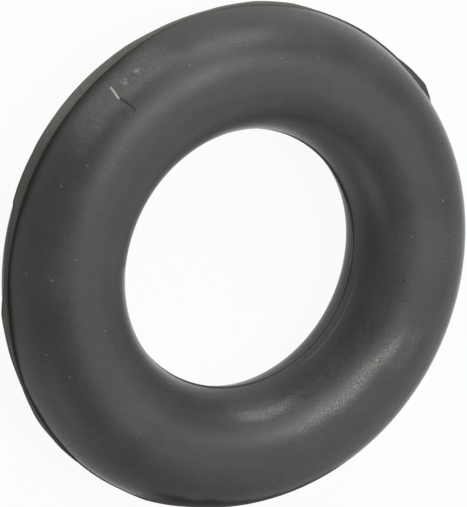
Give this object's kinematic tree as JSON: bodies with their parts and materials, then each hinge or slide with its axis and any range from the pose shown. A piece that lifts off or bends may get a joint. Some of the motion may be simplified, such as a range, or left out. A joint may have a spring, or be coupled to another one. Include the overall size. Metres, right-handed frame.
{
  "type": "exhaust hanger",
  "caption": "Moulded rubber ring with half-round sides and a hand-trimmed mould fin, which hangs an exhaust by a hook through its bore.",
  "frame": {"origin": "centre of the ring, on the plane where the mould halves met", "axes": "+Z along the ring's axis, out of one of its two like faces; +X and +Y across the ring, with the fin's sharpest corner 43 degrees from +X towards +Y"},
  "size_m": [0.0618, 0.0618, 0.013],
  "materials": {
    "rubber": "matt moulded rubber with a faint bloom and a soft sheen"
  },
  "bodies": {
    "root": {"hanger_ring": "rubber"}
  },
  "joints": []
}
